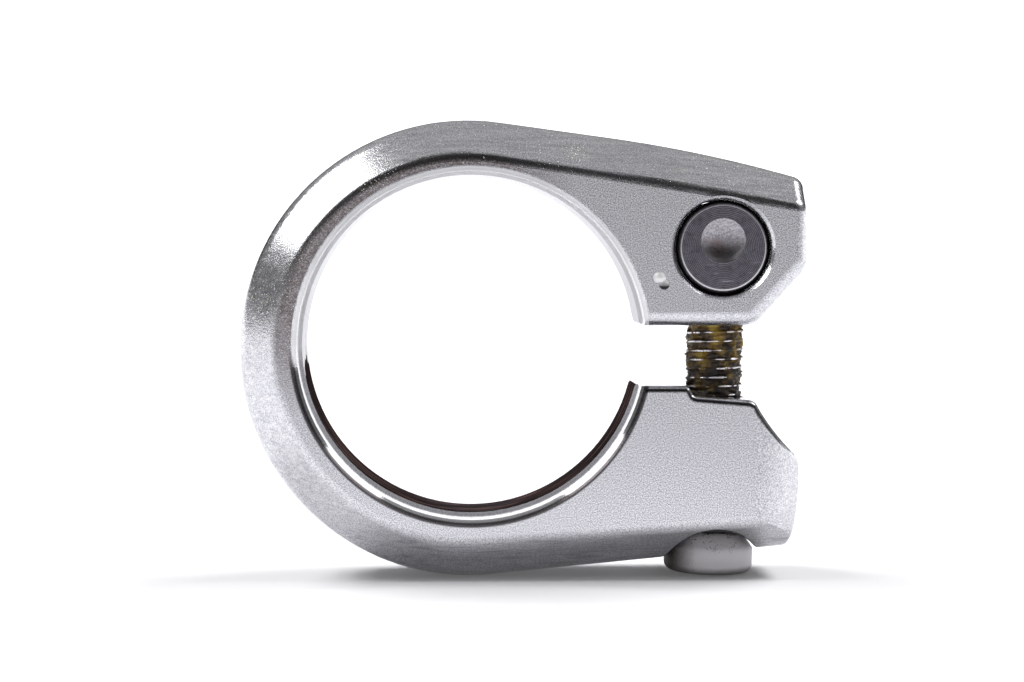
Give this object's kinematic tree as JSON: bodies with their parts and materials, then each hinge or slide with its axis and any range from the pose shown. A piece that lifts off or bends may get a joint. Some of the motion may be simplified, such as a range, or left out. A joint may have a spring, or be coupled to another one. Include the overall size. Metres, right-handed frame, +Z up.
{
  "type": "seatpost clamp",
  "caption": "Split collar that clamps round a bicycle's seat tube, closed by a bolt through its lower ear into a barrel nut in its upper ear.",
  "frame": {"origin": "on the axis of the seat tube bore, half way along the collar", "axes": "+Y along the bore towards the rear face, +Z up in the pictured stance, +X from the ring towards the ears"},
  "size_m": [0.0493, 0.011, 0.04],
  "materials": {
    "collar": "forged and silver coated, finely grained faces and smooth bevels",
    "nut": "dark turned steel",
    "bolt": "plated steel with thread compound"
  },
  "bodies": {
    "collar": {"clamp_collar": "collar"},
    "nut": {"barrel_nut": "nut"},
    "bolt": {"clamp_bolt": "bolt"}
  },
  "joints": [
    {"name": "nut_swivel", "type": "hinge", "parent": "collar", "child": "nut", "pos_m": [0.02173, 0, 0.00846], "axis": [0, 1, 0], "range_deg": [-0.5, 1.2]},
    {"name": "bolt_turn", "type": "hinge", "parent": "nut", "child": "bolt", "pos_m": [0.02193, 0, 0.00846], "axis": [0.0288, 0, 0.9996], "continuous": true}
  ]
}
